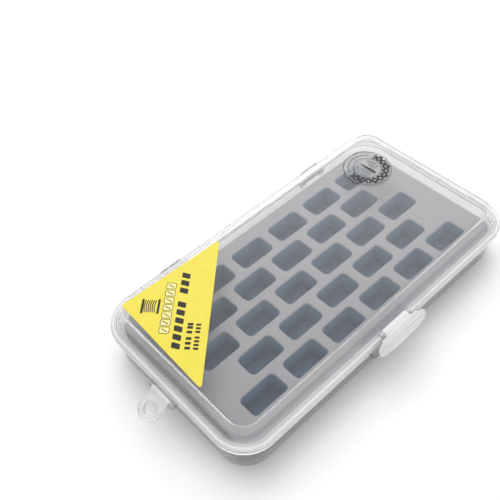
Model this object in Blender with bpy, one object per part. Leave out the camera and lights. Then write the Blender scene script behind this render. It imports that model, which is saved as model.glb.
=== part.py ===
"""Clear hinged storage case for sewing-machine bobbins, with a slotted foam insert.

Metres, +Z up. The origin is the centre of the base tray's underside. The latch faces -Y, the
hinge is on the +Y side and the hang tab is at the -X end. Each sub-part is one named object.
"""

import math

import bmesh
import bpy
from mathutils import Matrix, Vector

MM = 0.001

# ---------------------------------------------------------------- driving dimensions, metres
RIM_HALF_X = 99.8 * MM          # outer edge of the lid's rim, half of the case's length
RIM_HALF_Y = 52.8 * MM          # half of the case's width
RIM_RADIUS = 19.0 * MM          # rounded corners of the rim, seen from above
CORNER_TIGHTENING = 1.3         # millimetres of corner radius lost per millimetre of inset
CORNER_STEPS = 10               # segments in each rounded corner

CASE_HEIGHT = 31.0 * MM         # underside of the base to the top of the lid
BASE_FLOOR = 1.5 * MM
PARTING_Z = 19.2 * MM           # top of the base's flange
FLANGE_Z = 17.5 * MM            # underside of the base's flange
TONGUE_TOP_Z = 20.8 * MM        # register that the lid's skirt fits around
SKIRT_Z = 19.5 * MM             # lower edge of the lid's skirt
LEDGE_Z = 22.5 * MM             # flat lip around the lid, outside its shoulder
GAP = 0.3 * MM                  # clearance between pieces that touch

BOBBIN_DIAMETER = 20.5 * MM     # class 15 bobbin, which stands on its edge in a slot
BOBBIN_WIDTH = 11.6 * MM
SLOT_LENGTH = BOBBIN_DIAMETER + 0.5 * MM
SLOT_WIDTH = BOBBIN_WIDTH + 0.4 * MM
SLOT_RADIUS = 2.5 * MM
SLOT_PITCH_X = 27.0 * MM
SLOT_PITCH_Y = 16.26 * MM
SLOTS_PER_ROW = (6, 5, 6, 5, 6)

FOAM_HALF_X = 92.0 * MM
FOAM_HALF_Y = 46.2 * MM
FOAM_RADIUS = 8.5 * MM
FOAM_TOP_Z = 17.0 * MM
BACKING_THICKNESS = 1.6 * MM

HINGE_X = 52.0 * MM             # centre of each of the two hinges
HINGE_Y = 52.6 * MM
HINGE_Z = 15.5 * MM             # half of the height, so that the open lid lies flat
HINGE_BARREL = 1.7 * MM         # radius
HINGE_ARM_WIDTH = 12.0 * MM
HINGE_EAR_WIDTH = 2.6 * MM
PIN_RADIUS = 0.8 * MM
PIN_HOLE = PIN_RADIUS + GAP

LATCH_Y = -51.6 * MM
LATCH_Z = 24.4 * MM
LATCH_BARREL = 1.6 * MM         # radius
LATCH_BARREL_HALF = 8.4 * MM
LATCH_EAR_WIDTH = 1.2 * MM
LATCH_HALF = 17.0 * MM          # half of the flap's widest part
LATCH_LEG_HALF = 12.0 * MM
CATCH_HALF = 18.0 * MM          # half of the base's catch flange
CATCH_Y = -56.0 * MM

TAB_X = -101.2 * MM
TAB_Z = 17.7 * MM
TAB_BARREL = 1.5 * MM           # radius
TAB_HALF = 6.3 * MM
TAB_REACH = 7.7 * MM            # pivot to the middle of the round end
TAB_HOLE = 3.4 * MM             # radius
TAB_THICKNESS = 1.6 * MM
TAB_DROOP = math.radians(28.0)
TAB_LUG_WIDTH = 2.0 * MM
TAB_PIN_RADIUS = 0.7 * MM

STICKER_THICKNESS = 0.2 * MM
STICKER_Z = CASE_HEIGHT + GAP
LABEL_CORNER = (-88.4 * MM, 43.8 * MM)
LABEL_LEG = 61.2 * MM
LABEL_TURN = math.radians(-1.9)
SEAL_CENTRE = (67.0 * MM, 23.0 * MM)
SEAL_RADIUS = 13.7 * MM

ROUND_STEPS = 24                # sides of pins and barrels


# ---------------------------------------------------------------- scene and materials
for old in list(bpy.data.objects):
    bpy.data.objects.remove(old, do_unlink=True)


def material(name, colour, roughness, transmission=0.0, metallic=0.0):
    """A Principled material with one colour."""
    made = bpy.data.materials.new(name)
    made.use_nodes = True
    shader = made.node_tree.nodes["Principled BSDF"]
    shader.inputs["Base Color"].default_value = (*colour, 1.0)
    shader.inputs["Roughness"].default_value = roughness
    shader.inputs["Transmission Weight"].default_value = transmission
    shader.inputs["Metallic"].default_value = metallic
    return made


# ---------------------------------------------------------------- mesh helpers
def finish(name, bm, mat, smooth_angle=40.0):
    """Turns a bmesh into a named object with outward faces and smooth round surfaces."""
    bmesh.ops.recalc_face_normals(bm, faces=bm.faces)
    mesh = bpy.data.meshes.new(name)
    bm.to_mesh(mesh)
    bm.free()
    mesh.materials.append(mat)
    mesh.shade_smooth()
    mesh.set_sharp_from_angle(angle=math.radians(smooth_angle))
    made = bpy.data.objects.new(name, mesh)
    bpy.context.collection.objects.link(made)
    return made


def rounded_rectangle(half_x, half_y, radius, steps=CORNER_STEPS, centre=(0.0, 0.0)):
    """Points of a rectangle with round corners, anticlockwise, in the XY plane."""
    points = []
    corners = ((1, 1, 0), (-1, 1, 90), (-1, -1, 180), (1, -1, 270))
    for side_x, side_y, start in corners:
        for step in range(steps + 1):
            angle = math.radians(start + 90.0 * step / steps)
            x = centre[0] + side_x * (half_x - radius) + radius * math.cos(angle)
            y = centre[1] + side_y * (half_y - radius) + radius * math.sin(angle)
            points.append((x, y))
    return points


def loft(name, rings, mat):
    """A closed body through rings of (x, y, z) points, capped at the first and last ring."""
    bm = bmesh.new()
    rows = [[bm.verts.new(point) for point in ring] for ring in rings]
    for low, high in zip(rows, rows[1:]):
        for i in range(len(low)):
            j = (i + 1) % len(low)
            bm.faces.new((low[i], low[j], high[j], high[i]))
    bm.faces.new(reversed(rows[0]))
    bm.faces.new(rows[-1])
    return finish(name, bm, mat)


def rim_ring(inset, z):
    """The case's outline drawn in by an inset, at one height. Both are in millimetres."""
    inset = inset * MM
    radius = RIM_RADIUS - CORNER_TIGHTENING * inset
    outline = rounded_rectangle(RIM_HALF_X - inset, RIM_HALF_Y - inset, radius)
    return [(x, y, z * MM) for x, y in outline]


def prism(name, outline, low, high, mat, axis="Z"):
    """Extrudes a closed outline along Z, or a (y, z) outline along X, or (x, z) along Y."""
    places = {
        "Z": lambda a, b, c: (a, b, c),
        "X": lambda a, b, c: (c, a, b),
        "Y": lambda a, b, c: (a, c, b),
    }
    place = places[axis]
    return loft(name, [[place(a, b, c) for a, b in outline] for c in (low, high)], mat)


def circle(centre, radius, steps=ROUND_STEPS):
    """Points of a circle around a centre, in any plane."""
    turns = [2.0 * math.pi * (step + 0.5) / steps for step in range(steps)]
    return [(centre[0] + radius * math.cos(a), centre[1] + radius * math.sin(a)) for a in turns]


def rounded_corners(points, radius, steps=4):
    """Replaces each corner of a closed outline with an arc-like curve of the given reach."""
    made = []
    for i, point in enumerate(points):
        here = Vector(point)
        before = (Vector(points[i - 1]) - here)
        after = (Vector(points[(i + 1) % len(points)]) - here)
        reach = min(radius, before.length * 0.45, after.length * 0.45)
        start = here + before.normalized() * reach
        end = here + after.normalized() * reach
        for step in range(steps + 1):
            t = step / steps
            curve = start * (1 - t) ** 2 + here * 2 * t * (1 - t) + end * t ** 2
            made.append((curve.x, curve.y))
    return made


def combine(target, operation, tools):
    """Applies one Boolean per tool and removes the tools."""
    for tool in tools:
        step = target.modifiers.new(operation.title(), "BOOLEAN")
        step.operation = operation
        step.object = tool
        evaluated = target.evaluated_get(bpy.context.evaluated_depsgraph_get())
        mesh = bpy.data.meshes.new_from_object(evaluated)
        target.modifiers.clear()
        target.data = mesh
        bpy.data.objects.remove(tool, do_unlink=True)
    target.data.shade_smooth()
    target.data.set_sharp_from_angle(angle=math.radians(40.0))
    return target


def set_origin(target, point):
    """Moves an object's origin to a point without moving its surface."""
    target.data.transform(Matrix.Translation(-Vector(point)))
    target.location = point


# ---------------------------------------------------------------- base tray
def base_shell(mat):
    """Thin tray: underside, drafted wall, flange, register tongue, inner wall and floor."""
    profile = (
        (4.9, 0.0), (3.95, 0.35), (3.5, 1.3),                      # rounded bottom edge
        (2.6, 16.6), (2.4, 17.1), (2.2, FLANGE_Z / MM),            # wall, blended to the flange
        (0.9, FLANGE_Z / MM), (0.55, 17.8), (0.55, 18.9),
        (0.85, PARTING_Z / MM),                                    # edge of the flange
        (1.95, PARTING_Z / MM), (2.05, 20.5), (2.35, TONGUE_TOP_Z / MM),
        (3.1, TONGUE_TOP_Z / MM), (3.4, 20.5), (3.6, 19.2), (3.75, 18.4),
        (3.85, 16.8), (4.7, 2.4), (5.0, 1.75), (5.65, BASE_FLOOR / MM),
    )
    return loft("base_tray", [rim_ring(inset, z) for inset, z in profile], mat)


def hinge_ears(mat):
    """Two ears for each hinge pin, under the rear flange."""
    outline = [
        (49.5 * MM, 17.9 * MM), (49.5 * MM, 12.6 * MM), (50.6 * MM, 12.6 * MM),
    ]
    for step in range(9):
        angle = math.radians(-110.0 + 20.0 * step)
        outline.append((
            HINGE_Y + 2.0 * MM * math.cos(angle),
            HINGE_Z + 2.0 * MM * math.sin(angle),
        ))
    outline.append((51.6 * MM, 17.9 * MM))
    ears = []
    inner = HINGE_ARM_WIDTH / 2 + 0.4 * MM
    for side in (-1, 1):
        for ear in (-1, 1):
            start = side * HINGE_X + ear * inner
            end = start + ear * HINGE_EAR_WIDTH
            ears.append(prism("ear", outline, min(start, end), max(start, end), mat, "X"))
    return ears


def make_base(mat):
    """The tray with its hinge ears, latch catch and hang-tab lugs."""
    tray = base_shell(mat)

    half = CATCH_HALF
    plan = [(-half, -51.6 * MM), (-half, CATCH_Y), (half, CATCH_Y), (half, -51.6 * MM)]
    curved = rounded_corners(plan, 3.0 * MM)
    plan = plan[:1] + curved[5:15] + plan[3:]
    catch = prism("catch", plan, 17.35 * MM, 19.05 * MM, mat)

    side = [
        (-97.9 * MM, 16.1 * MM), (-97.9 * MM, 19.0 * MM), (TAB_X, TAB_Z + 1.6 * MM),
    ]
    for step in range(1, 9):
        angle = math.radians(90.0 + 22.5 * step)
        side.append((TAB_X + 1.6 * MM * math.cos(angle), TAB_Z + 1.6 * MM * math.sin(angle)))
    lugs = []
    for direction in (-1, 1):
        start = direction * (TAB_HALF + 0.4 * MM)
        end = start + direction * TAB_LUG_WIDTH
        lugs.append(prism("lug", side, min(start, end), max(start, end), mat, "Y"))
    combine(tray, "UNION", hinge_ears(mat) + [catch] + lugs)

    cutters = []
    for direction in (-1, 1):
        x = direction * HINGE_X
        hole = circle((HINGE_Y, HINGE_Z), PIN_HOLE)
        cutters.append(prism("cut", hole, x - 12 * MM, x + 12 * MM, mat, "X"))
    hole = circle((TAB_X, TAB_Z), TAB_PIN_RADIUS + GAP)
    cutters.append(prism("cut", hole, -12 * MM, 12 * MM, mat, "Y"))
    return combine(tray, "DIFFERENCE", cutters)


# ---------------------------------------------------------------- lid
def lid_shell(mat):
    """Thin lid: skirt, ledge, sloping shoulder with a crisp crease, panel, and the inside."""
    ledge = LEDGE_Z / MM
    profile = (
        (11.8, 29.6), (10.6, 29.4), (9.5, 28.8), (8.5, 27.7),      # inside of the panel
        (6.9, 25.3), (5.7, 23.0), (5.0, 21.9), (4.4, 21.3),        # inside of the shoulder
        (1.9, 21.3), (1.45, 20.9), (1.45, SKIRT_Z / MM),           # under the ledge, skirt
        (0.15, SKIRT_Z / MM), (0.0, 19.7), (0.0, ledge - 0.55),
        (0.2, ledge - 0.15), (0.6, ledge), (2.3, ledge + 0.1),     # lip and ledge
        (2.95, ledge + 0.4), (3.4, ledge + 1.0), (4.3, 25.6), (5.5, 28.0), (6.7, 29.9),
        (7.3, 30.65), (7.75, 30.98), (8.2, CASE_HEIGHT / MM),      # shoulder up to the crease
    )
    return loft("lid_shell", [rim_ring(inset, z) for inset, z in profile], mat)


def make_lid(mat):
    """The lid with its hinge arms and latch ears."""
    shell = lid_shell(mat)

    added = []
    outer = HINGE_Y + HINGE_BARREL
    outline = [(51.9 * MM, 22.0 * MM), (51.9 * MM, 19.6 * MM), (52.75 * MM, 19.3 * MM)]
    outline.append((52.75 * MM, HINGE_Z + HINGE_BARREL * 0.99))
    for step in range(10):
        angle = math.radians(90.0 + 27.0 * step)
        outline.append((
            HINGE_Y + HINGE_BARREL * math.cos(angle),
            HINGE_Z + HINGE_BARREL * math.sin(angle),
        ))
    outline += [(outer, HINGE_Z), (outer, 20.6 * MM), (53.6 * MM, 21.7 * MM)]
    for side in (-1, 1):
        low = side * HINGE_X - HINGE_ARM_WIDTH / 2
        added.append(prism("arm", outline, low, low + HINGE_ARM_WIDTH, mat, "X"))

    ear = [(-49.0 * MM, 22.2 * MM), (-49.0 * MM, 24.8 * MM)]
    for step in range(9):
        angle = math.radians(70.0 + 15.0 * step)
        ear.append((LATCH_Y + 1.9 * MM * math.cos(angle), LATCH_Z + 1.9 * MM * math.sin(angle)))
    ear.append((-52.6 * MM, 22.0 * MM))
    for side in (-1, 1):
        start = side * (LATCH_BARREL_HALF + 0.5 * MM)
        end = start + side * LATCH_EAR_WIDTH
        added.append(prism("ear", ear, min(start, end), max(start, end), mat, "X"))
    combine(shell, "UNION", added)

    cutters = []
    for side in (-1, 1):
        x = side * HINGE_X
        hole = circle((HINGE_Y, HINGE_Z), PIN_HOLE)
        cutters.append(prism("cut", hole, x - 8 * MM, x + 8 * MM, mat, "X"))
    hole = circle((LATCH_Y, LATCH_Z), PIN_HOLE)
    cutters.append(prism("cut", hole, -12 * MM, 12 * MM, mat, "X"))
    combine(shell, "DIFFERENCE", cutters)
    set_origin(shell, (0.0, HINGE_Y, HINGE_Z))
    return shell


# ---------------------------------------------------------------- foam
def slot_centres():
    """Centres of the slots, row by row; the odd rows are staggered by half a pitch."""
    centres = []
    for row, count in enumerate(SLOTS_PER_ROW):
        y = (row - (len(SLOTS_PER_ROW) - 1) / 2) * SLOT_PITCH_Y
        for column in range(count):
            centres.append(((column - (count - 1) / 2) * SLOT_PITCH_X, y))
    return centres


def make_foam(mat):
    """Foam block with a slot cut through it for each bobbin."""
    low = BASE_FLOOR + GAP + BACKING_THICKNESS + GAP
    outline = rounded_rectangle(FOAM_HALF_X, FOAM_HALF_Y, FOAM_RADIUS, 6)
    block = prism("foam_insert", outline, low, FOAM_TOP_Z, mat)
    bm = bmesh.new()
    for centre in slot_centres():
        ring = rounded_rectangle(SLOT_LENGTH / 2, SLOT_WIDTH / 2, SLOT_RADIUS, 4, centre)
        bottom = [bm.verts.new((x, y, low - 2 * MM)) for x, y in ring]
        top = [bm.verts.new((x, y, FOAM_TOP_Z + 2 * MM)) for x, y in ring]
        for i in range(len(ring)):
            j = (i + 1) % len(ring)
            bm.faces.new((bottom[i], bottom[j], top[j], top[i]))
        bm.faces.new(reversed(bottom))
        bm.faces.new(top)
    return combine(block, "DIFFERENCE", [finish("slots", bm, mat)])


def make_backing(mat):
    """Thin foam sheet under the slotted block, which closes the slots."""
    inset = 0.3 * MM
    outline = rounded_rectangle(FOAM_HALF_X - inset, FOAM_HALF_Y - inset, FOAM_RADIUS, 6)
    low = BASE_FLOOR + GAP
    return prism("foam_backing", outline, low, low + BACKING_THICKNESS, mat)


# ---------------------------------------------------------------- pins
def make_pin(name, start, end, radius, mat):
    """A plain round pin with chamfered ends between two points."""
    start = Vector(start)
    end = Vector(end)
    along = (end - start).normalized()
    turn = along.to_track_quat("Z", "Y").to_matrix()
    chamfer = radius * 0.3
    rings = []
    stations = (
        (0.0, radius - chamfer), (chamfer, radius),
        ((end - start).length - chamfer, radius), ((end - start).length, radius - chamfer),
    )
    for distance, reach in stations:
        ring = [turn @ Vector((x, y, distance)) + start for x, y in circle((0, 0), reach, 20)]
        rings.append(ring)
    return loft(name, rings, mat)


# ---------------------------------------------------------------- latch
def yz_outline(millimetres):
    """A side view given as (y, z) pairs in millimetres, in metres."""
    return [(y * MM, z * MM) for y, z in millimetres]


def latch_plan():
    """Outline of the flap from above: narrow between the ears, flared, with a bowed lip."""
    side = [(8.4, -49.0), (8.4, -53.9), (14.2, -55.0), (16.5, -55.8), (17.0, -56.7), (16.5, -57.5)]
    half = side[-1][0]
    bow = [(half * math.cos(a), -57.5 - 1.6 * math.sin(a)) for a in
           (math.radians(180.0 * step / 10) for step in range(1, 10))]
    left = [(-x, y) for x, y in side]
    return [(x * MM, y * MM) for x, y in left + bow[::-1] + side[::-1]]


def make_latch(mat):
    """Flap that pivots on the lid's ears, with a leg that hooks under the catch flange."""
    roof = yz_outline((
        (-51.6, 25.95), (-53.4, 25.7), (-55.4, 24.7), (-57.2, 22.7), (-58.4, 21.3),
        (-59.6, 20.7), (-59.6, 19.5), (-58.0, 19.7), (-56.2, 21.4), (-54.9, 22.8),
        (-53.4, 23.9), (-52.6, 23.6), (-51.6, 23.0),
    ))
    flap = prism("latch", roof, -LATCH_HALF, LATCH_HALF, mat, "X")
    combine(flap, "INTERSECT", [prism("plan", latch_plan(), 14.0 * MM, 27.0 * MM, mat)])

    leg = prism("leg", yz_outline((
        (-57.6, 20.9), (-57.5, 15.9), (-57.0, 15.2), (-56.2, 15.3), (-55.5, 16.2),
        (-55.6, 16.8), (-56.35, 17.0), (-56.35, 22.0),
    )), -LATCH_LEG_HALF, LATCH_LEG_HALF, mat, "X")
    barrel = prism(
        "barrel", circle((LATCH_Y, LATCH_Z), LATCH_BARREL),
        -LATCH_BARREL_HALF, LATCH_BARREL_HALF, mat, "X",
    )
    combine(flap, "UNION", [leg, barrel])
    hole = circle((LATCH_Y, LATCH_Z), PIN_HOLE)
    combine(flap, "DIFFERENCE", [prism("cut", hole, -20 * MM, 20 * MM, mat, "X")])
    set_origin(flap, (0.0, LATCH_Y, LATCH_Z))
    return flap


# ---------------------------------------------------------------- hang tab
def make_tab(mat):
    """Tab with a round hole, which folds down about a pin at the case's end."""
    outline = []
    for step in range(17):
        angle = math.radians(90.0 + 180.0 * step / 16)
        outline.append((-TAB_REACH + TAB_HALF * math.cos(angle), TAB_HALF * math.sin(angle)))
    outline += [(0.0, -TAB_HALF), (0.0, TAB_HALF)]
    half = TAB_THICKNESS / 2
    tab = prism("hang_tab", outline, -half, half, mat)
    barrel = prism("barrel", circle((0, 0), TAB_BARREL), -TAB_HALF, TAB_HALF, mat, "Y")
    combine(tab, "UNION", [barrel])
    hang_hole = prism("cut", circle((-TAB_REACH, 0), TAB_HOLE, 36), -4 * MM, 4 * MM, mat)
    pin_hole = prism("cut", circle((0, 0), TAB_PIN_RADIUS + GAP), -9 * MM, 9 * MM, mat, "Y")
    combine(tab, "DIFFERENCE", [hang_hole, pin_hole])
    tab.location = (TAB_X, 0.0, TAB_Z)
    tab.rotation_euler = (0.0, -TAB_DROOP, 0.0)
    return tab


# ---------------------------------------------------------------- stickers
def make_label(mat):
    """Right-triangle label in the corner of the lid's panel."""
    corner = Vector(LABEL_CORNER)
    turn = Matrix.Rotation(LABEL_TURN, 2)
    points = [(0.0, 0.0), (0.0, -LABEL_LEG), (LABEL_LEG, 0.0)]
    outline = [corner + turn @ Vector(point) for point in points]
    outline = rounded_corners([(p.x, p.y) for p in outline], 1.2 * MM, 3)
    return prism("label_sticker", outline, STICKER_Z, STICKER_Z + STICKER_THICKNESS, mat)


def make_seal(mat):
    """Round clear sticker on the lid's panel."""
    outline = circle(SEAL_CENTRE, SEAL_RADIUS, 48)
    return prism("seal_sticker", outline, STICKER_Z, STICKER_Z + STICKER_THICKNESS, mat)


# ---------------------------------------------------------------- assembly
clear_base = material("clear_base", (0.86, 0.87, 0.88), 0.12, transmission=0.9)
clear_lid = material("clear_lid", (0.93, 0.94, 0.95), 0.06, transmission=0.95)
frosted = material("frosted_latch", (0.90, 0.90, 0.91), 0.35, transmission=0.6)
clear_tab = material("clear_tab", (0.92, 0.92, 0.93), 0.15, transmission=0.8)
grey_foam = material("grey_foam", (0.47, 0.48, 0.51), 0.85)
backing_foam = material("backing_foam", (0.20, 0.23, 0.27), 0.9)
yellow_card = material("yellow_card", (0.98, 0.78, 0.10), 0.45)
clear_film = material("clear_film", (0.80, 0.80, 0.82), 0.15, transmission=0.7)

base_tray = make_base(clear_base)
foam_backing = make_backing(backing_foam)
foam_insert = make_foam(grey_foam)
lid = make_lid(clear_lid)
latch = make_latch(frosted)
hang_tab = make_tab(clear_tab)
label = make_label(yellow_card)
seal = make_seal(clear_film)

reach = HINGE_ARM_WIDTH / 2 + 0.4 * MM + HINGE_EAR_WIDTH
for word, side in (("left", -1), ("right", 1)):
    centre = side * HINGE_X
    steel = material("steel_wire_" + word, (0.60, 0.61, 0.63), 0.25, metallic=1.0)
    make_pin(
        "hinge_pin_" + word,
        (centre - reach, HINGE_Y, HINGE_Z), (centre + reach, HINGE_Y, HINGE_Z),
        PIN_RADIUS, steel,
    )

reach = LATCH_BARREL_HALF + 0.5 * MM + LATCH_EAR_WIDTH
moulded = material("moulded_latch_pin", (0.90, 0.91, 0.92), 0.20, transmission=0.7)
make_pin("latch_pin", (-reach, LATCH_Y, LATCH_Z), (reach, LATCH_Y, LATCH_Z), PIN_RADIUS, moulded)

reach = TAB_HALF + 0.4 * MM + TAB_LUG_WIDTH
moulded = material("moulded_tab_pin", (0.90, 0.91, 0.92), 0.20, transmission=0.7)
make_pin("hang_tab_pin", (TAB_X, -reach, TAB_Z), (TAB_X, reach, TAB_Z), TAB_PIN_RADIUS, moulded)
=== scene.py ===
"""Looks of the bobbin storage case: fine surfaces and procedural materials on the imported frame."""

import math

import bmesh
import bpy
from mathutils import Matrix, Vector


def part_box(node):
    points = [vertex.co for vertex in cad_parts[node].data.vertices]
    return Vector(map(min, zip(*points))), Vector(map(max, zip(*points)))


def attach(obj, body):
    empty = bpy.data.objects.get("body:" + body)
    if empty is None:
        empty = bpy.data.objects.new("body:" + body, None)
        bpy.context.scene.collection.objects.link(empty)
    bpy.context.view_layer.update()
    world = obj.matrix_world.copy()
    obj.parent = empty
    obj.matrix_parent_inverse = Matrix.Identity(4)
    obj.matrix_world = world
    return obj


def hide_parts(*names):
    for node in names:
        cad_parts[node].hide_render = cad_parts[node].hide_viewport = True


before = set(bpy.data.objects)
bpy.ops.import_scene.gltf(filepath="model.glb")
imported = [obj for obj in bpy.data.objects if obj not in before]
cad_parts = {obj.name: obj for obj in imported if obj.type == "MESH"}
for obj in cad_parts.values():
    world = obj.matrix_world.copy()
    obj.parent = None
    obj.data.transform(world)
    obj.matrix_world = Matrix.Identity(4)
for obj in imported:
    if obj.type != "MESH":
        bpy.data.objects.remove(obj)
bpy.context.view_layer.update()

MM = 0.001

# ---------------------------------------------------------------- sizes shared with the CAD, metres
RIM_HALF_X, RIM_HALF_Y, RIM_RADIUS = 99.8 * MM, 52.8 * MM, 19.0 * MM
CORNER_TIGHTENING = 1.3                     # corner radius lost per length of inset
FOAM_LOW, FOAM_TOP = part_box("foam_insert")[0].z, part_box("foam_insert")[1].z
FOAM_HALF_X, FOAM_HALF_Y, FOAM_RADIUS = 92.0 * MM, 46.2 * MM, 8.5 * MM
SLOT_LENGTH, SLOT_WIDTH, SLOT_RADIUS = 21.0 * MM, 12.0 * MM, 2.5 * MM
SLOT_PITCH_X, SLOT_PITCH_Y = 27.0 * MM, 16.26 * MM
SLOTS_PER_ROW = (6, 5, 6, 5, 6)
HINGE_X, HINGE_Y, HINGE_Z = 52.0 * MM, 52.6 * MM, 15.5 * MM
HINGE_EAR_START, HINGE_EAR_WIDTH, HINGE_EAR_RADIUS = 6.4 * MM, 2.6 * MM, 2.0 * MM
HINGE_ARM_HALF, HINGE_ARM_RADIUS = 6.0 * MM, 1.7 * MM
LATCH_Y, LATCH_Z = -51.6 * MM, 24.4 * MM
LATCH_HALF, LATCH_LEG_HALF = 17.0 * MM, 12.0 * MM
LATCH_BARREL_HALF, LATCH_BARREL_RADIUS = 8.4 * MM, 1.6 * MM
LATCH_EAR_START, LATCH_EAR_STOP, LATCH_EAR_RADIUS = 8.9 * MM, 10.1 * MM, 1.9 * MM
TAB_X, TAB_Z, TAB_DROOP = -101.2 * MM, 17.7 * MM, math.radians(28.0)
TAB_HALF, TAB_REACH = 6.3, 7.7              # half width, and pin to hole, millimetres
TAB_HOLE, TAB_BEAD, TAB_BARREL = 3.4 * MM, 4.6 * MM, 1.5 * MM
LUG_START, LUG_STOP, LUG_RADIUS = 6.7 * MM, 8.7 * MM, 1.6 * MM
PIN_HOLE, TAB_PIN_HOLE = 1.1 * MM, 1.0 * MM
LABEL_CORNER, LABEL_LEG, LABEL_TURN = (-88.4 * MM, 43.8 * MM), 61.2 * MM, math.radians(-1.9)
SEAL_CENTRE, SEAL_RADIUS = (67.0 * MM, 23.0 * MM), 13.7 * MM
STICKER_LOW, STICKER_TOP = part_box("label_sticker")[0].z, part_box("label_sticker")[1].z

# ---------------------------------------------------------------- fineness and finish
CORNER_STEPS, SLOT_STEPS, BORDER_STEPS = 22, 7, 14   # facets in a quarter turn
FILLET_STEPS, LIP_STEPS = 5, 5
FILLET_SHARE = 0.48                         # most of an edge that one fillet may take
SEAL_STEPS = 96
SHARP_ANGLE, BEVEL_SHARP_ANGLE = 35.0, 50.0  # degrees above which an edge stays sharp
FOAM_LIP = 0.7 * MM                         # radius of the foam's pressed-in edges
LABEL_ROUNDING = 0.9 * MM
PRINT_HEIGHT = 0.03 * MM
RIB_RADIUS = 0.42 * MM
# outline of the crease: painted highlight along it, painted shade outside it
CREASE_OUTLINE = (92.0 * MM, 45.0 * MM, 9.0 * MM)    # half x, half y and corner radius
# outline on the rim of a painted highlight, a milky stripe, with painted shade outside it as clearer
# plastic; no bead is modelled
RIM_HIGHLIGHT_OUTLINE = (98.4 * MM, 51.4 * MM, 17.2 * MM)
# MILK_GREY is the milky plastic's own grey; the second grey is painted shade on the lid outside its
# crease
MILK_GREY, PAINTED_SHADE_GREY = (0.83, 0.825, 0.84), (0.81, 0.806, 0.818)
PLASTIC_IOR = 1.49
NOISE_LOW, NOISE_HIGH = 0.3, 0.7            # the usual range of a noise
MIX_FACTOR, MIX_FIRST, MIX_SECOND, MIX_RESULT = 0, 6, 7, 2   # sockets of a colour mix

# ---------------------------------------------------------------- light and camera
KEY_PLACE, KEY_SIZE, KEY_POWER = (0.13, 0.66, 1.34), 1.20, 13.6
# direction, the cosines where a glow starts and is full, and its strength at each
WORLD_GLOWS = (
    ((0.45, -0.89, 0.0), -1.0, 1.0, 0.40, 0.94),    # front right
    ((0.62, 0.60, 0.24), 0.62, 1.0, 0.0, 1.7),      # low on the far side
)
CAMERA_PLACE = (-0.16836, -0.14414, 0.29382)
CAMERA_TURN = (40.5427, 2.0253, -43.3352)   # degrees about x, y and z
CAMERA_LENS, CAMERA_SENSOR = 49.05, 36.0    # millimetres
CAMERA_NEAR, CAMERA_FAR = 0.01, 20.0
FLOOR_HALF = 4.0


# ---------------------------------------------------------------- outlines
def mm_points(pairs):
    """Pairs in millimetres as metres."""
    return [(a * MM, b * MM) for a, b in pairs]


def rounded_rectangle(half_x, half_y, radius, steps=CORNER_STEPS, centre=(0.0, 0.0)):
    """Anticlockwise points of a rectangle with round corners."""
    points = []
    for side_x, side_y, start in ((1, 1, 0), (-1, 1, 90), (-1, -1, 180), (1, -1, 270)):
        for step in range(steps + 1):
            angle = math.radians(start + 90.0 * step / steps)
            points.append((
                centre[0] + side_x * (half_x - radius) + radius * math.cos(angle),
                centre[1] + side_y * (half_y - radius) + radius * math.sin(angle),
            ))
    return points


def arc(centre, radius, start, turn, count):
    """Points on a circle from a start angle, each a turn further on, both in degrees."""
    angles = [math.radians(start + turn * step) for step in range(count)]
    return [(centre[0] + radius * math.cos(a), centre[1] + radius * math.sin(a)) for a in angles]


def circle(centre, radius, steps=48):
    """Anticlockwise points of a circle."""
    angles = [2.0 * math.pi * (step + 0.5) / steps for step in range(steps)]
    return [(centre[0] + radius * math.cos(a), centre[1] + radius * math.sin(a)) for a in angles]


def filleted(points, closed=True):
    """A polyline of (a, b, radius) corners with each corner rounded by its radius."""
    made = []
    count = len(points)
    for i, (a, b, radius) in enumerate(points):
        here = Vector((a, b))
        if radius <= 0 or (not closed and i in (0, count - 1)):
            made.append((a, b))
            continue
        before = Vector(points[i - 1][:2]) - here
        after = Vector(points[(i + 1) % count][:2]) - here
        half = before.angle(after) / 2
        reach = min(radius / math.tan(half), before.length * FILLET_SHARE,
                    after.length * FILLET_SHARE)
        true_radius = reach * math.tan(half)
        start, end = here + before.normalized() * reach, here + after.normalized() * reach
        middle = here + (before.normalized() + after.normalized()).normalized() * (
            true_radius / math.sin(half))
        first, last = start - middle, end - middle
        turn = first.angle_signed(last)
        for step in range(FILLET_STEPS + 1):
            spoke = Matrix.Rotation(-turn * step / FILLET_STEPS, 2) @ first
            made.append(tuple(middle + spoke))
    return made


# ---------------------------------------------------------------- mesh helpers
def smooth(mesh, sharp):
    """Smooth shading, with the edges above an angle in degrees left sharp."""
    mesh.shade_smooth()
    mesh.set_sharp_from_angle(angle=math.radians(sharp))


def to_object(name, bm, material):
    """A bmesh as a linked object with smooth shading and one material."""
    bmesh.ops.recalc_face_normals(bm, faces=bm.faces)
    mesh = bpy.data.meshes.new(name)
    bm.to_mesh(mesh)
    bm.free()
    mesh.materials.append(material)
    smooth(mesh, SHARP_ANGLE)
    made = bpy.data.objects.new(name, mesh)
    bpy.context.collection.objects.link(made)
    return made


def loft_bmesh(rings):
    """A closed bmesh through rings of (x, y, z) points."""
    bm = bmesh.new()
    rows = [[bm.verts.new(point) for point in ring] for ring in rings]
    for low, high in zip(rows, rows[1:]):
        for i in range(len(low)):
            j = (i + 1) % len(low)
            bm.faces.new((low[i], low[j], high[j], high[i]))
    bm.faces.new(reversed(rows[0]))
    bm.faces.new(rows[-1])
    return bm


def case_ring(inset, z):
    """The case's outline drawn in by an inset, at one height, both in millimetres."""
    inset = inset * MM
    radius = RIM_RADIUS - CORNER_TIGHTENING * inset
    outline = rounded_rectangle(RIM_HALF_X - inset, RIM_HALF_Y - inset, radius)
    return [(x, y, z * MM) for x, y in outline]


def shell(name, profile, material):
    """A thin shell with the case's outline, from a profile of (inset, height, fillet) in mm."""
    rings = [case_ring(inset, z) for inset, z in filleted(profile, closed=False)]
    return to_object(name, loft_bmesh(rings), material)


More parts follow.
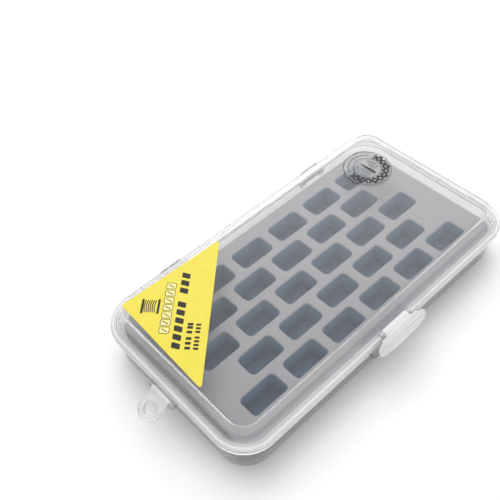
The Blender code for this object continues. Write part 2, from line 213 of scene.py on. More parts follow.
def prism(name, outline, start, stop, material, axis="Z"):
    """An outline extruded along Z, a (y, z) outline along X, or an (x, z) outline along Y."""
    places = {
        "Z": lambda a, b, c: (a, b, c),
        "X": lambda a, b, c: (c, a, b),
        "Y": lambda a, b, c: (a, c, b),
    }
    place = places[axis]
    rings = [[place(a, b, c) for a, b in outline] for c in sorted((start, stop))]
    return to_object(name, loft_bmesh(rings), material)


def apply_all(target, sharp):
    """Applies an object's modifiers and renews its smooth shading."""
    evaluated = target.evaluated_get(bpy.context.evaluated_depsgraph_get())
    mesh = bpy.data.meshes.new_from_object(evaluated)
    target.modifiers.clear()
    target.data = mesh
    smooth(mesh, sharp)
    return target


def combine(target, operation, tools):
    """Applies one Boolean per tool and removes the tools."""
    for tool in tools:
        step = target.modifiers.new("Boolean", "BOOLEAN")
        step.operation = operation
        step.object = tool
        apply_all(target, SHARP_ANGLE)
        bpy.data.objects.remove(tool, do_unlink=True)
    return target


def bevelled(target, width, segments, angle):
    """Rounds an object's edges that are sharper than an angle in degrees."""
    step = target.modifiers.new("Bevel", "BEVEL")
    step.width = width
    step.segments = segments
    step.limit_method = "ANGLE"
    step.angle_limit = math.radians(angle)
    step.use_clamp_overlap = True
    return apply_all(target, BEVEL_SHARP_ANGLE)


# ---------------------------------------------------------------- material helpers
class Shader:
    """Builds one procedural material."""

    def __init__(self, name):
        self.material = bpy.data.materials.new(name)
        self.material.use_nodes = True
        self.tree = self.material.node_tree
        self.tree.nodes.clear()
        self.output = self.tree.nodes.new("ShaderNodeOutputMaterial")
        self.place = self.tree.nodes.new("ShaderNodeTexCoord").outputs["Object"]

    def node(self, kind, inputs=None, **settings):
        """A new node with settings, and inputs given as values or as other sockets."""
        made = self.tree.nodes.new(kind)
        for key, value in settings.items():
            setattr(made, key, value)
        for key, value in (inputs or {}).items():
            if isinstance(value, bpy.types.NodeSocket):
                self.tree.links.new(value, made.inputs[key])
            else:
                made.inputs[key].default_value = value
        return made

    def noise(self, scale, detail=3.0, roughness=0.5, stretch=None):
        """Noise over the object, at features per metre."""
        place = self.place
        if stretch:
            place = self.node("ShaderNodeMapping", {"Vector": place, "Scale": stretch}).outputs[0]
        return self.node("ShaderNodeTexNoise", {
            "Vector": place, "Scale": scale, "Detail": detail, "Roughness": roughness,
        }).outputs["Fac"]

    def height(self):
        """Height above the case's underside."""
        return self.node("ShaderNodeSeparateXYZ", {0: self.place}).outputs["Z"]

    def remap(self, value, low, high, to_low, to_high):
        """A value moved from one range to another, clamped."""
        return self.node("ShaderNodeMapRange", {
            "Value": value, "From Min": low, "From Max": high, "To Min": to_low, "To Max": to_high,
        }).outputs[0]

    def spread(self, noise, low, high):
        """A noise spread over a range."""
        return self.remap(noise, NOISE_LOW, NOISE_HIGH, low, high)

    def ramp(self, value, *stops):
        """A colour ramp of two (position, colour) stops."""
        made = self.node("ShaderNodeValToRGB", {"Fac": value})
        for element, (position, colour) in zip(made.color_ramp.elements, stops):
            element.position = position
            element.color = (*colour, 1.0)
        return made.outputs["Color"]

    def mix(self, factor, first, second):
        """Two colours mixed."""
        made = self.node("ShaderNodeMix", {MIX_FACTOR: factor}, data_type="RGBA")
        for index, value in ((MIX_FIRST, first), (MIX_SECOND, second)):
            if isinstance(value, bpy.types.NodeSocket):
                self.tree.links.new(value, made.inputs[index])
            else:
                made.inputs[index].default_value = (*value, 1.0)
        return made.outputs[MIX_RESULT]

    def math(self, operation, first, second=0.0):
        """One sum on two numbers."""
        return self.node("ShaderNodeMath", {0: first, 1: second}, operation=operation).outputs[0]

    def vector_math(self, operation, *values):
        """One sum on vectors, as a node."""
        return self.node("ShaderNodeVectorMath", dict(enumerate(values)), operation=operation)

    def beyond(self, half_x, half_y, radius):
        """How far a point lies outside a round-cornered outline; negative inside."""
        folded = self.vector_math("ABSOLUTE", self.place).outputs[0]
        corner = (half_x - radius, half_y - radius, 1.0)
        past = self.vector_math("SUBTRACT", folded, corner).outputs[0]
        past = self.vector_math("MAXIMUM", past, (0.0, 0.0, 0.0)).outputs[0]
        reach = self.vector_math("LENGTH", past).outputs["Value"]
        return self.math("SUBTRACT", reach, radius)

    def bump(self, height, strength, distance, normal=None):
        """A bump from a height, on top of an optional other one."""
        inputs = {"Height": height, "Strength": strength, "Distance": distance}
        if normal:
            inputs["Normal"] = normal
        return self.node("ShaderNodeBump", inputs).outputs[0]

    def done(self, surface):
        """Links the surface to the output."""
        self.tree.links.new(surface, self.output.inputs["Surface"])
        return self.material


def lamp_through(s, surface, passed):
    """Lets lamps and soft bounces pass a clear surface, tinted by what it keeps."""
    clear = s.node("ShaderNodeBsdfTransparent", {"Color": (*passed, 1.0)})
    path = s.node("ShaderNodeLightPath")
    lamp = s.math("MAXIMUM", path.outputs["Is Shadow Ray"], path.outputs["Is Diffuse Ray"])
    both = s.node("ShaderNodeMixShader", {0: lamp, 1: surface.outputs[0], 2: clear.outputs[0]})
    return s.done(both.outputs[0])


def clear_plastic(name, tint, roughness, passed, milk, low, high, edge, crease=None, bead=None):
    """Clear moulded plastic. Its milkiness goes from milk[0] below low to milk[1] above high.

    Milky plastic is greyer, and edge is the milkiness added where it is seen at a low angle.
    The crease is an optional round-cornered outline, (half x, half y, radius), with painted
    highlight along it, as a milky stripe, and painted shade outside it, as darker plastic. The
    optional bead is such an outline too, on the rim, where no bead is modelled: painted
    highlight along it, as a milky stripe, and painted shade outside it, as clearer plastic.
    """
    s = Shader(name)
    fine = s.noise(900.0, 4.0, 0.6)
    scratches = s.noise(900.0, 4.0, 0.7)
    cloud = s.noise(60.0)
    rough = s.remap(scratches, 0.35, 0.75, roughness * 0.7, roughness * 1.5)
    normal = s.bump(s.noise(28.0, 2.0), 0.05, 0.6 * MM)
    normal = s.bump(fine, 0.03, 0.04 * MM, normal)
    milkiness = s.remap(s.height(), low, high, *milk)
    grazing = s.node("ShaderNodeLayerWeight", {"Blend": 0.5}).outputs["Facing"]
    milkiness = s.math("ADD", milkiness, s.remap(grazing, 0.45, 1.0, 0.0, edge))
    milkiness = s.math("MULTIPLY", milkiness, s.spread(cloud, 0.85, 1.15))
    # painted highlight along the bead outline as a milky stripe, and painted shade outside it as
    # clearer plastic
    if bead:
        out = s.beyond(*bead)
        milkiness = s.math("MULTIPLY", milkiness, s.remap(out, 0.0, 0.35 * MM, 1.0, 0.4))
        rim_highlight = s.remap(s.math("ABSOLUTE", out), 0.15 * MM, 0.5 * MM, 1.0, 0.0)
        milkiness = s.math("ADD", milkiness, s.math("MULTIPLY", rim_highlight, 0.30))
    # painted highlight: a milky stripe along the crease
    if crease:
        off = s.beyond(*crease)
        crease_highlight = s.remap(s.math("ABSOLUTE", off), 0.25 * MM, 0.8 * MM, 1.0, 0.0)
        milkiness = s.math("ADD", milkiness, s.math("MULTIPLY", crease_highlight, 0.20))
    colour = s.mix(cloud, tint, tuple(0.985 * c for c in tint))
    # painted shade: the shoulder, rim and skirt outside the crease are greyer
    if crease:
        colour = s.mix(s.remap(off, 0.0, 1.0 * MM, 0.0, 1.0), colour, PAINTED_SHADE_GREY)
    colour = s.mix(s.remap(milkiness, 0.1, 0.6, 0.0, 1.0), colour, MILK_GREY)
    glass = s.node("ShaderNodeBsdfPrincipled", {
        "Base Color": colour, "Roughness": rough, "IOR": PLASTIC_IOR, "Normal": normal,
        "Transmission Weight": s.math("SUBTRACT", 1.0, milkiness),
    })
    return lamp_through(s, glass, passed)


def foam_material():
    """Closed-cell foam: grey skin, outer sides painted darker as painted shade, and cut slot walls
    that are bluer and painted darker as painted shade in the slots.
    """
    s = Shader("foam_grey")
    cells = s.node("ShaderNodeTexVoronoi", {"Vector": s.place, "Scale": 2400.0})
    pores = s.noise(1500.0, 4.0, 0.65)
    patches = s.noise(22.0)
    speckle = s.spread(pores, 0.0, 1.0)
    skin = s.ramp(speckle, (0.0, (0.278, 0.277, 0.285)), (1.0, (0.322, 0.321, 0.330)))
    skin = s.mix(s.remap(patches, 0.35, 0.65, 0.0, 0.35), skin, (0.286, 0.290, 0.310))
    # painted shade: the cut slot walls are darker than the skin; they are also bluer
    cut = s.ramp(speckle, (0.0, (0.122, 0.222, 0.316)), (1.0, (0.150, 0.258, 0.364)))
    # painted shade: the outer sides are darker, as they lie in shade under the lid's rim
    outside = s.ramp(speckle, (0.0, (0.140, 0.142, 0.150)), (1.0, (0.172, 0.174, 0.183)))
    below = s.remap(s.height(), FOAM_TOP - 1.2 * MM, FOAM_TOP - 0.1 * MM, 1.0, 0.0)
    outer = s.beyond(FOAM_HALF_X, FOAM_HALF_Y, FOAM_RADIUS)
    outer = s.remap(outer, -2.0 * MM, -1.0 * MM, 0.0, 1.0)
    colour = s.mix(below, skin, s.mix(outer, cut, outside))
    normal = s.bump(cells.outputs["Distance"], 0.25, 0.12 * MM)
    normal = s.bump(pores, 0.30, 0.15 * MM, normal)
    foam = s.node("ShaderNodeBsdfPrincipled", {
        "Base Color": colour, "Roughness": s.spread(pores, 0.8, 0.95),
        "Normal": normal, "Specular IOR Level": 0.25,
    })
    return s.done(foam.outputs[0])


def backing_material():
    """Thin blue-grey foam sheet under the slots."""
    s = Shader("foam_backing")
    pores = s.noise(1300.0, 4.0, 0.65)
    colour = s.ramp(pores, (0.25, (0.098, 0.168, 0.246)), (0.75, (0.124, 0.204, 0.288)))
    foam = s.node("ShaderNodeBsdfPrincipled", {
        "Base Color": colour, "Roughness": s.spread(pores, 0.8, 0.95),
        "Normal": s.bump(pores, 0.4, 0.2 * MM),
    })
    return s.done(foam.outputs[0])


def frosted_plastic():
    """Frosted flexible plastic of the latch."""
    s = Shader("plastic_frosted")
    grain = s.noise(1800.0, 4.0, 0.6)
    flow = s.noise(90.0, stretch=(1.0, 0.3, 0.3))
    frost = s.node("ShaderNodeBsdfPrincipled", {
        "Base Color": s.mix(flow, (0.85, 0.845, 0.857), (0.79, 0.786, 0.80)),
        "Roughness": s.spread(grain, 0.26, 0.42), "IOR": PLASTIC_IOR,
        "Transmission Weight": s.spread(flow, 0.28, 0.42),
        "Normal": s.bump(grain, 0.10, 0.08 * MM, s.bump(flow, 0.15, 0.5 * MM)),
    })
    return lamp_through(s, frost, (0.78, 0.78, 0.79))


def label_paper():
    """Yellow coated label with a little mottle and a paler edge."""
    s = Shader("label_yellow")
    mottle = s.noise(160.0, 4.0, 0.6)
    fibre = s.noise(2200.0, 3.0, 0.6, stretch=(1.0, 0.35, 1.0))
    colour = s.mix(s.spread(mottle, 0.0, 1.0), (0.690, 0.590, 0.050), (0.725, 0.622, 0.062))
    core = s.remap(s.height(), STICKER_TOP - 0.08 * MM, STICKER_TOP - 0.03 * MM, 1.0, 0.0)
    colour = s.mix(core, colour, (0.88, 0.84, 0.62))
    paper = s.node("ShaderNodeBsdfPrincipled", {
        "Base Color": colour, "Roughness": s.spread(fibre, 0.38, 0.52),
        "Coat Weight": 0.25, "Coat Roughness": 0.18,
        "Normal": s.bump(fibre, 0.08, 0.04 * MM, s.bump(mottle, 0.08, 0.4 * MM)),
    })
    return s.done(paper.outputs[0])


def ink(name, dark, light, scale):
    """Printed ink with slight breaks in its cover."""
    s = Shader(name)
    cover = s.noise(scale, 4.0, 0.7)
    colour = s.mix(s.remap(cover, 0.35, 0.75, 0.0, 1.0), dark, light)
    made = s.node("ShaderNodeBsdfPrincipled", {
        "Base Color": colour, "Roughness": s.spread(cover, 0.35, 0.55),
        "Normal": s.bump(cover, 0.1, 0.03 * MM),
    })
    return s.done(made.outputs[0])


def film_material():
    """Clear sticker film with a faint milky cover."""
    s = Shader("seal_film")
    cloud = s.noise(240.0, 4.0, 0.6)
    film = s.node("ShaderNodeBsdfPrincipled", {
        "Base Color": s.mix(cloud, (0.90, 0.90, 0.91), (0.80, 0.80, 0.82)),
        "Roughness": s.spread(cloud, 0.18, 0.32),
        "Normal": s.bump(cloud, 0.12, 0.2 * MM),
    })
    clear = s.node("ShaderNodeBsdfTransparent", {"Color": (0.97, 0.97, 0.97, 1.0)})
    cover = s.spread(cloud, 0.07, 0.12)
    both = s.node("ShaderNodeMixShader", {0: cover, 1: clear.outputs[0], 2: film.outputs[0]})
    return s.done(both.outputs[0])


def steel_material():
    """Drawn steel wire."""
    s = Shader("steel_wire")
    drawn = s.noise(700.0, 4.0, 0.6, stretch=(0.08, 1.0, 1.0))
    steel = s.node("ShaderNodeBsdfPrincipled", {
        "Base Color": s.mix(drawn, (0.52, 0.53, 0.55), (0.68, 0.69, 0.71)), "Metallic": 1.0,
        "Roughness": s.spread(drawn, 0.20, 0.38),
        "Normal": s.bump(drawn, 0.15, 0.05 * MM),
    })
    return s.done(steel.outputs[0])


lid_plastic = clear_plastic(
    "plastic_lid", tint=(0.96, 0.960, 0.967), roughness=0.07, passed=(0.93, 0.93, 0.935),
    milk=(0.40, 0.014), low=22.3 * MM, high=24.2 * MM, edge=0.06,
    crease=CREASE_OUTLINE, bead=RIM_HIGHLIGHT_OUTLINE)
# the base's tint is darker than the lid's, as painted shade on its walls under the rim
base_plastic = clear_plastic(
    "plastic_base", tint=(0.76, 0.760, 0.767), roughness=0.09, passed=(0.76, 0.76, 0.77),
    milk=(0.05, 0.26), low=18.9 * MM, high=19.4 * MM, edge=0.05)
tab_plastic = clear_plastic(
    "plastic_tab", tint=(0.96, 0.96, 0.965), roughness=0.09, passed=(0.92, 0.92, 0.925),
    milk=(0.30, 0.30), low=8.0 * MM, high=18.0 * MM, edge=0.10)
frosted = frosted_plastic()
foam_grey = foam_material()
backing = backing_material()
paper = label_paper()
ink_dark = ink("ink_dark", (0.010, 0.009, 0.007), (0.028, 0.024, 0.014), 1500.0)
ink_black = ink("ink_black", (0.010, 0.010, 0.011), (0.026, 0.026, 0.028), 1500.0)
ink_pale = ink("ink_pale", (0.80, 0.74, 0.36), (0.78, 0.68, 0.20), 900.0)
film = film_material()
steel = steel_material()


# ---------------------------------------------------------------- base tray
def hinge_cuts(reach, material):
    """Cutters for the two hinges' pin holes, reaching so far to either side of each."""
    hole = circle((HINGE_Y, HINGE_Z), PIN_HOLE)
    return [prism("cut", hole, x - reach, x + reach, material, "X") for x in (-HINGE_X, HINGE_X)]


def make_tray():
    """Thin tray from its underside over the flange and tongue to its floor, with its fittings."""
    tray = shell("tray_fine", (
        (6.6, 0.0, 0), (5.0, 0.0, 0), (3.5, 0.0, 1.4), (2.5, 17.5, 0.5),
        (0.55, 17.5, 0.25), (0.55, 19.2, 0.25), (2.0, 19.2, 0.15), (2.1, 20.8, 0.25),
        (3.5, 20.8, 0.25), (3.6, 19.2, 0.6), (3.75, 17.6, 0.8), (4.75, 1.5, 0.8),
        (6.2, 1.5, 0), (7.2, 1.5, 0),
    ), base_plastic)

    hinge_ear = mm_points([(49.5, 17.9), (49.5, 12.6), (50.6, 12.6)])
    hinge_ear += arc((HINGE_Y, HINGE_Z), HINGE_EAR_RADIUS, -110.0, 10.0, 17)
    hinge_ear += mm_points([(51.6, 17.9)])
    added = []
    for side in (-1, 1):
        for end in (-1, 1):
            start = side * HINGE_X + end * HINGE_EAR_START
            stop = start + end * HINGE_EAR_WIDTH
            added.append(prism("ear", hinge_ear, start, stop, base_plastic, "X"))
    catch = mm_points(filleted((
        (-18.0, -51.6, 0), (-18.0, -56.0, 2.2), (18.0, -56.0, 2.2), (18.0, -51.6, 0))))
    catch = prism("catch", catch, 17.35 * MM, 19.05 * MM, base_plastic)
    added.append(bevelled(catch, 0.25 * MM, 3, 32.0))
    lug = mm_points([(-97.9, 16.1), (-97.9, 19.0)]) + [(TAB_X, TAB_Z + LUG_RADIUS)]
    lug += arc((TAB_X, TAB_Z), LUG_RADIUS, 101.25, 11.25, 16)
    for side in (-1, 1):
        added.append(prism("lug", lug, side * LUG_START, side * LUG_STOP, base_plastic, "Y"))
    combine(tray, "UNION", added)

    tab_hole = circle((TAB_X, TAB_Z), TAB_PIN_HOLE)
    return combine(tray, "DIFFERENCE", hinge_cuts(12 * MM, base_plastic) + [
        prism("cut", tab_hole, -12 * MM, 12 * MM, base_plastic, "Y")])


# ---------------------------------------------------------------- lid
def make_lid():
    """Thin lid from its inside over the skirt, rim and crease to its panel, with its fittings."""
    lid = shell("lid_fine", (
        (12.9, 29.6, 0), (12.0, 29.6, 0), (9.0, 29.6, 1.6), (5.1, 21.3, 0.6),
        (1.45, 21.3, 0.3), (1.45, 19.5, 0.15), (0.02, 19.5, 0.3), (0.0, 22.5, 0.8),
        (2.9, 22.55, 2.4), (7.6, 31.0, 0.8), (9.6, 31.0, 0), (10.6, 31.0, 0),
    ), lid_plastic)

    arm = mm_points([(51.9, 22.0), (51.9, 19.6), (52.75, 19.3)])
    arm += [(52.75 * MM, HINGE_Z + 1.68 * MM)]
    arm += arc((HINGE_Y, HINGE_Z), HINGE_ARM_RADIUS, 90.0, 10.0, 28)
    arm += mm_points([(54.3, 20.6), (53.6, 21.7)])
    added = []
    for side in (-1, 1):
        low = side * HINGE_X - HINGE_ARM_HALF
        added.append(prism("arm", arm, low, low + 2 * HINGE_ARM_HALF, lid_plastic, "X"))
    latch_ear = mm_points([(-49.0, 22.2), (-49.0, 24.8)])
    latch_ear += arc((LATCH_Y, LATCH_Z), LATCH_EAR_RADIUS, 70.0, 7.5, 17)
    latch_ear += mm_points([(-52.6, 22.0)])
    for side in (-1, 1):
        start, stop = side * LATCH_EAR_START, side * LATCH_EAR_STOP
        added.append(prism("ear", latch_ear, start, stop, lid_plastic, "X"))
    combine(lid, "UNION", added)

    latch_hole = circle((LATCH_Y, LATCH_Z), PIN_HOLE)
    return combine(lid, "DIFFERENCE", hinge_cuts(8 * MM, lid_plastic) + [
        prism("cut", latch_hole, -12 * MM, 12 * MM, lid_plastic, "X")])


# ---------------------------------------------------------------- foam insert
def slot_centres():
    """Centres of the slots, row by row; the odd rows are staggered by half a pitch."""
    centres = []
    for row, count in enumerate(SLOTS_PER_ROW):
        y = (row - (len(SLOTS_PER_ROW) - 1) / 2) * SLOT_PITCH_Y
        for column in range(count):
            centres.append(((column - (count - 1) / 2) * SLOT_PITCH_X, y))
    return centres


def make_foam():
    """Foam block whose slots have soft, slightly pressed-in top edges."""
    bm = bmesh.new()
    # each ring's growth and drop, in lips: a flat guard ring at the top, then a quarter turn
    stations = [(0.35, 0.0), (0.0, 0.0)]
    for step in range(1, LIP_STEPS + 1):
        angle = math.radians(90.0 * step / LIP_STEPS)
        stations.append((-math.sin(angle), 1.0 - math.cos(angle)))

    def wall(outline_at):
        """One wall from its flat ring at the top, round its edge and down."""
        rows = []
        for grow, drop in stations:
            ring = outline_at(FOAM_LIP * grow)
            rows.append([bm.verts.new((x, y, FOAM_TOP - FOAM_LIP * drop)) for x, y in ring])
        rows.append([bm.verts.new((x, y, FOAM_LOW)) for x, y in outline_at(-FOAM_LIP)])
        for upper, lower in zip(rows, rows[1:]):
            for i in range(len(upper)):
                j = (i + 1) % len(upper)
                bm.faces.new((upper[i], upper[j], lower[j], lower[i]))
        return rows[0], rows[-1]

    def slot_at(centre):
        """The outline of one slot, as a function of how far it has grown."""
        return lambda grow: rounded_rectangle(
            SLOT_LENGTH / 2 + FOAM_LIP + grow, SLOT_WIDTH / 2 + FOAM_LIP + grow,
            SLOT_RADIUS + FOAM_LIP + grow, SLOT_STEPS, centre)

    def border(grow):
        """The outline of the block."""
        return rounded_rectangle(
            FOAM_HALF_X - FOAM_LIP - grow, FOAM_HALF_Y - FOAM_LIP - grow,
            FOAM_RADIUS - FOAM_LIP - grow, BORDER_STEPS)

    walls = [wall(slot_at(centre)) for centre in slot_centres()] + [wall(border)]
    for loops in zip(*walls):
        edges = []
        for loop in loops:
            for i in range(len(loop)):
                pair = (loop[i], loop[(i + 1) % len(loop)])
                edges.append(bm.edges.get(pair) or bm.edges.new(pair))
        bmesh.ops.triangle_fill(bm, use_beauty=True, use_dissolve=False, edges=edges)
    return to_object("foam_fine", bm, foam_grey)


# ---------------------------------------------------------------- latch and hang tab
def make_latch():
    """Frosted flap with a bowed lip, ribs, a hooked leg and a barrel."""
    roof = filleted((
        (-51.6, 25.95, 0), (-53.4, 25.7, 1.5), (-55.4, 24.7, 1.5), (-57.2, 22.7, 1.5),
        (-58.4, 21.3, 1.2), (-59.6, 20.7, 0.3), (-59.6, 19.5, 0.3), (-58.0, 19.7, 0.6),
        (-56.2, 21.4, 1.2), (-54.9, 22.8, 1.2), (-53.4, 23.9, 0.5), (-52.6, 23.6, 0.3),
        (-51.6, 23.0, 0),
    ))
    flap = prism("latch_fine", mm_points(roof), -LATCH_HALF, LATCH_HALF, frosted, "X")
    side = [(8.4, -49.0, 0), (8.4, -53.9, 1.0), (14.2, -55.0, 3.0), (16.5, -55.8, 1.0),
            (17.0, -56.7, 0.6), (16.5, -57.5, 0.5)]
    bow = []
    for step in range(1, 20):
        angle = math.radians(9.0 * step)
        bow.append((16.5 * math.cos(angle), -57.5 - 1.6 * math.sin(angle), 0))
    plan = filleted([(-a, b, r) for a, b, r in side] + bow[::-1] + side[::-1])
    combine(flap, "INTERSECT", [prism("plan", mm_points(plan), 14.0 * MM, 27.0 * MM, frosted)])
    leg = mm_points(filleted((
        (-57.6, 20.9, 0), (-57.5, 15.9, 0.5), (-57.0, 15.2, 0.3), (-56.2, 15.3, 0.4),
        (-55.5, 16.2, 0.2), (-55.6, 16.8, 0.2), (-56.35, 17.0, 0.1), (-56.35, 22.0, 0),
    )))
    barrel = circle((LATCH_Y, LATCH_Z), LATCH_BARREL_RADIUS)
    added = [
        prism("leg", leg, -LATCH_LEG_HALF, LATCH_LEG_HALF, frosted, "X"),
        prism("barrel", barrel, -LATCH_BARREL_HALF, LATCH_BARREL_HALF, frosted, "X"),
    ]
    for y, z, half in ((-54.5, 25.1, 12.6), (-56.3, 23.65, 13.4), (-57.8, 21.95, 13.0)):
        rib = circle((y * MM, z * MM), RIB_RADIUS, 16)
        added.append(prism("rib", rib, -half * MM, half * MM, frosted, "X"))
    combine(flap, "UNION", added)
    hole = prism("cut", circle((LATCH_Y, LATCH_Z), PIN_HOLE), -20 * MM, 20 * MM, frosted, "X")
    combine(flap, "DIFFERENCE", [hole])
    return bevelled(flap, 0.16 * MM, 2, 45.0)


def make_tab():
    """Tab with a round hole, a bead round the hole and one round its edge."""
    def outline(inset):
        half = TAB_HALF - inset
        end = arc((-TAB_REACH, 0.0), half, 90.0, 5.625, 33)
        return mm_points([(-inset, -half), (-inset, half)] + end)

    def slab(name, points, half):
        """An outline as a flat piece, with half its thickness in millimetres."""
        return prism(name, points, -half * MM, half * MM, tab_plastic)

    hole_centre = (-TAB_REACH * MM, 0)
    tab = slab("tab_fine", outline(0.0), 0.7)
    rim = slab("rim", outline(0.0), 0.95)
    combine(rim, "DIFFERENCE", [slab("cut", outline(0.9), 2)])
    bead = slab("bead", circle(hole_centre, TAB_BEAD, 64), 1.1)
    barrel = circle((0, 0), TAB_BARREL)
    barrel = prism("barrel", barrel, -TAB_HALF * MM, TAB_HALF * MM, tab_plastic, "Y")
    combine(tab, "UNION", [rim, bead, barrel])
    combine(tab, "DIFFERENCE", [
        slab("cut", circle(hole_centre, TAB_HOLE, 64), 4),
        prism("cut", circle((0, 0), TAB_PIN_HOLE), -9 * MM, 9 * MM, tab_plastic, "Y"),
    ])
    bevelled(tab, 0.22 * MM, 3, 45.0)
    tab.data.transform(
        Matrix.Translation((TAB_X, 0.0, TAB_Z)) @ Matrix.Rotation(-TAB_DROOP, 4, "Y"))
    return tab


# ---------------------------------------------------------------- stickers
def label_corners():
    """The ends of the label's long edge, with its right-angled corner between them."""
    corner = Vector(LABEL_CORNER)
    turn = Matrix.Rotation(LABEL_TURN, 2)
    low, high = Vector((0.0, -LABEL_LEG)), Vector((LABEL_LEG, 0.0))
    return corner + turn @ low, corner, corner + turn @ high


def make_label():
    """The triangular sticker."""
    low, corner, high = label_corners()
    outline = filleted([(point.x, point.y, LABEL_ROUNDING) for point in (corner, low, high)])
    return prism("label_fine", outline, STICKER_LOW, STICKER_TOP, paper)


def printed(points):
    """Label points (along the long edge, towards the corner), in mm, as metres on the lid."""
    low, _, high = label_corners()
    along = (high - low).normalized()
    across = Vector((-along.y, along.x))
    return [tuple(low + along * (u * MM) + across * (v * MM)) for u, v in points]


def add_print(bm, outline, low=STICKER_TOP, hole=None):
    """Adds one thin printed shape, with an optional hole of as many points."""
    high = low + PRINT_HEIGHT
    rows = []
    loops = [outline] + ([hole] if hole else [])
    for loop in loops:
        rows.append(([bm.verts.new((x, y, low)) for x, y in loop],
                     [bm.verts.new((x, y, high)) for x, y in loop]))
    for bottom, top in rows:
        for i in range(len(top)):
            j = (i + 1) % len(top)
            bm.faces.new((bottom[i], bottom[j], top[j], top[i]))
    if not hole:
        bm.faces.new(rows[0][1])
        bm.faces.new(reversed(rows[0][0]))
        return
    for level in (0, 1):
        outer, inner = rows[0][level], rows[1][level]
        for i in range(len(outer)):
            j = (i + 1) % len(outer)
            bm.faces.new((outer[i], outer[j], inner[j], inner[i]))


def block(u0, u1, v0, v1, radius, steps):
    """A rounded block in label millimetres."""
    centre = ((u0 + u1) / 2, (v0 + v1) / 2)
    return rounded_rectangle((u1 - u0) / 2, (v1 - v0) / 2, radius, steps, centre)


def make_label_print():
    """Generic print: a thread spool, a row of cells, a row of stitches and two rows of dashes."""
    dark, pale = bmesh.new(), bmesh.new()
    # a row of slanted thick stitches, six and three
    stitch = ((0.0, 12.2), (3.1, 12.2), (4.2, 16.3), (1.1, 16.3))
    for start in [19.6 + 4.62 * i for i in range(6)] + [51.0 + 4.62 * i for i in range(3)]:
        add_print(dark, printed(filleted([(start + u, v, 0.5) for u, v in stitch])))
    # two rows of small dashes
    for low, height, starts, width in (
            (7.4, 2.7, (19.9, 22.5, 25.1, 28.6, 31.2, 33.0), 1.5),
            (3.7, 2.4, (19.9, 21.9, 23.9, 25.9, 29.0, 31.0, 33.0), 1.2)):
        for start in starts:
            add_print(dark, printed(block(start, start + width, low, low + height, 0.35, 3)))
    # a row of outlined cells, each with one slanted stitch
    for i in range(7):
        u = 28.0 + 4.3 * i
        outer = printed(block(u, u + 3.8, 18.2, 23.2, 0.8, 5))
        inner = printed(block(u + 0.3, u + 3.5, 18.5, 22.9, 0.5, 5))
        add_print(dark, outer, hole=inner)
        add_print(pale, inner, low=STICKER_TOP - PRINT_HEIGHT / 2)
        thin_stitch = ((0.9, 19.4), (1.25, 19.1), (2.9, 22.0), (2.55, 22.3))
        add_print(dark, printed([(u + du, v) for du, v in thin_stitch]))
    # a spool of thread: two flanges and the wound thread as curved lines
    for v in (24.7, 32.5):
        add_print(dark, printed(block(38.9, 47.6, v, v + 1.15, 0.5, 5)))
    for turn in range(6):
        v = 26.75 + 0.98 * turn
        low, high = [], []
        for step in range(13):
            u = 39.7 + 7.1 * step / 12
            sag = 0.5 * math.sin(math.pi * step / 12)
            low.append((u, v + sag - 0.25))
            high.append((u, v + sag + 0.25))
        add_print(dark, printed(low + high[::-1]))
    return (to_object("label_print_dark", dark, ink_dark),
            to_object("label_print_pale", pale, ink_pale))


def make_seal():
    """The clear round film."""
    outline = circle(SEAL_CENTRE, SEAL_RADIUS, SEAL_STEPS)
    return prism("seal_fine", outline, STICKER_LOW, STICKER_TOP, film)


def make_seal_print():
    """Generic print: rings, an arc of cross stitches and dots, one of dashes, needle, thread."""
    bm = bmesh.new()
    centre = Vector(SEAL_CENTRE)

    def placed(points, angle, radius, lean=0.0):
        """Points in millimetres, moved out along a spoke and turned with it."""
        spot = centre + Vector((math.cos(angle), math.sin(angle))) * radius * MM
        turn = Matrix.Rotation(angle + math.radians(lean), 2)
        return [tuple(spot + turn @ Vector((a * MM, b * MM))) for a, b in points]

    def rectangle(half_x, half_y):
        return [(-half_x, -half_y), (half_x, -half_y), (half_x, half_y), (-half_x, half_y)]

    for radii in ((13.45, 13.1), (7.9, 7.6)):
        outer, inner = [circle(SEAL_CENTRE, radius * MM, SEAL_STEPS) for radius in radii]
        add_print(bm, outer, hole=inner)
    bar, dot, dash = rectangle(2.5, 0.62), rectangle(0.8, 0.8), rectangle(0.25, 0.9)
    for i in range(11):                                   # cross stitches with a dot between
        angle = math.radians(-185.0 + 19.5 * i)
        add_print(bm, placed(bar, angle, 10.3, 42.0))
        add_print(bm, placed(bar, angle, 10.3, -42.0), low=STICKER_TOP + PRINT_HEIGHT * 1.05)
        if i < 10:
            add_print(bm, placed(dot, angle + math.radians(9.75), 8.9 + 2.9 * (i % 2)))
    for i in range(8):
        add_print(bm, placed(dash, math.radians(42.0 + 15.0 * i), 10.6))
    # a needle, and three arcs of thread beside it
    needle = [(-6.2, 0.0), (-1.0, -0.7), (5.0, -0.9), (6.2, 0.0), (5.0, 0.9), (-1.0, 0.7)]
    add_print(bm, placed(needle, math.radians(-88.0), 0.0))
    for turn in range(3):
        radius = 2.6 + 1.5 * turn
        low, high = [], []
        for step in range(11):
            angle = math.radians(-60.0 + 6.0 * turn + 9.0 * step)
            spoke = Vector((math.cos(angle), math.sin(angle)))
            low.append(tuple(centre + spoke * (radius - 0.2) * MM))
            high.append(tuple(centre + spoke * (radius + 0.2) * MM))
        add_print(bm, low + high[::-1])
    return to_object("seal_print", bm, ink_black)


tray = make_tray()
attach(tray, "case")
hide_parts("base_tray")

lid = make_lid()
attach(lid, "lid")
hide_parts("lid_shell")

foam = make_foam()
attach(foam, "case")
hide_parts("foam_insert")

latch = make_latch()
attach(latch, "latch")
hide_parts("latch")

tab = make_tab()
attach(tab, "hang_tab")
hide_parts("hang_tab")

label = make_label()
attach(label, "lid")
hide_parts("label_sticker")
for piece in make_label_print():
    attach(piece, "lid")

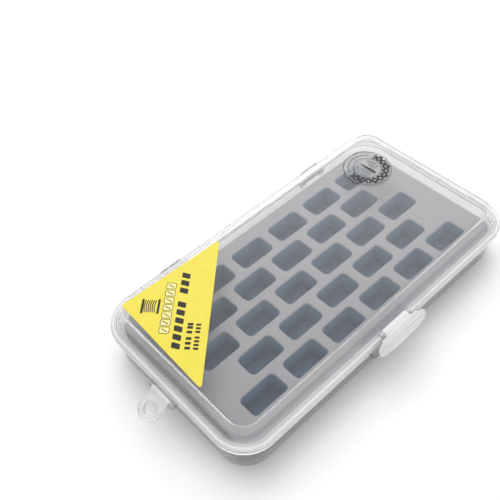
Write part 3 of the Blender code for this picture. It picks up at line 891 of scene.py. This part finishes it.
seal = make_seal()
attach(seal, "lid")
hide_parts("seal_sticker")
seal_print = make_seal_print()
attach(seal_print, "lid")

for node, material in (
        ("foam_backing", backing), ("latch_pin", tab_plastic), ("hinge_pin_left", steel),
        ("hinge_pin_right", steel), ("hang_tab_pin", tab_plastic)):
    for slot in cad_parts[node].material_slots:
        slot.link = "OBJECT"
        slot.material = material


# ---------------------------------------------------------------- stage, light and camera
def make_floor():
    """Pale seamless floor."""
    s = Shader("floor_pale")
    cloud = s.noise(3.0)
    pale = s.node("ShaderNodeBsdfPrincipled", {
        "Base Color": s.mix(cloud, (0.86, 0.86, 0.865), (0.89, 0.89, 0.892)),
        "Roughness": s.spread(cloud, 0.55, 0.65), "Specular IOR Level": 0.2,
    })
    material = s.done(pale.outputs[0])
    bm = bmesh.new()
    bmesh.ops.create_grid(bm, x_segments=4, y_segments=4, size=FLOOR_HALF)
    floor = to_object("floor", bm, material)


def make_key_light():
    """A soft square light that faces the case, left out of mirrored and refracted views."""
    lamp = bpy.data.lights.new("key", "AREA")
    lamp.size = KEY_SIZE
    lamp.energy = KEY_POWER
    key = bpy.data.objects.new("key", lamp)
    key.location = KEY_PLACE
    key.rotation_euler = (-Vector(KEY_PLACE)).to_track_quat("-Z", "Y").to_euler()
    key.visible_glossy = False
    key.visible_transmission = False
    bpy.context.collection.objects.link(key)


def make_world():
    """Pale surroundings, brighter to the front right and softly bright low on the far side."""
    world = bpy.data.worlds.new("studio")
    bpy.context.scene.world = world
    world.use_nodes = True
    tree = world.node_tree
    place = tree.nodes.new("ShaderNodeTexCoord").outputs["Generated"]
    total = tree.nodes.new("ShaderNodeMath")
    for index, (direction, start, stop, low, high) in enumerate(WORLD_GLOWS):
        along = tree.nodes.new("ShaderNodeVectorMath")
        along.operation = "DOT_PRODUCT"
        along.inputs[1].default_value = Vector(direction).normalized()
        glow = tree.nodes.new("ShaderNodeMapRange")
        glow.interpolation_type = "SMOOTHSTEP"
        for name, value in zip(("From Min", "From Max", "To Min", "To Max"),
                               (start, stop, low, high)):
            glow.inputs[name].default_value = value
        tree.links.new(place, along.inputs[0])
        tree.links.new(along.outputs["Value"], glow.inputs["Value"])
        tree.links.new(glow.outputs[0], total.inputs[index])
    background = tree.nodes["Background"]
    background.inputs["Color"].default_value = (1.0, 0.99, 0.99, 1.0)
    tree.links.new(total.outputs[0], background.inputs["Strength"])


def make_camera():
    """Camera at the wanted view."""
    data = bpy.data.cameras.new("camera")
    data.lens, data.sensor_width = CAMERA_LENS, CAMERA_SENSOR
    data.clip_start, data.clip_end = CAMERA_NEAR, CAMERA_FAR
    camera = bpy.data.objects.new("camera", data)
    camera.location = CAMERA_PLACE
    camera.rotation_euler = [math.radians(angle) for angle in CAMERA_TURN]
    bpy.context.collection.objects.link(camera)
    bpy.context.scene.camera = camera


make_floor()
make_world()
make_key_light()
make_camera()
bpy.context.scene.view_settings.view_transform = "Standard"
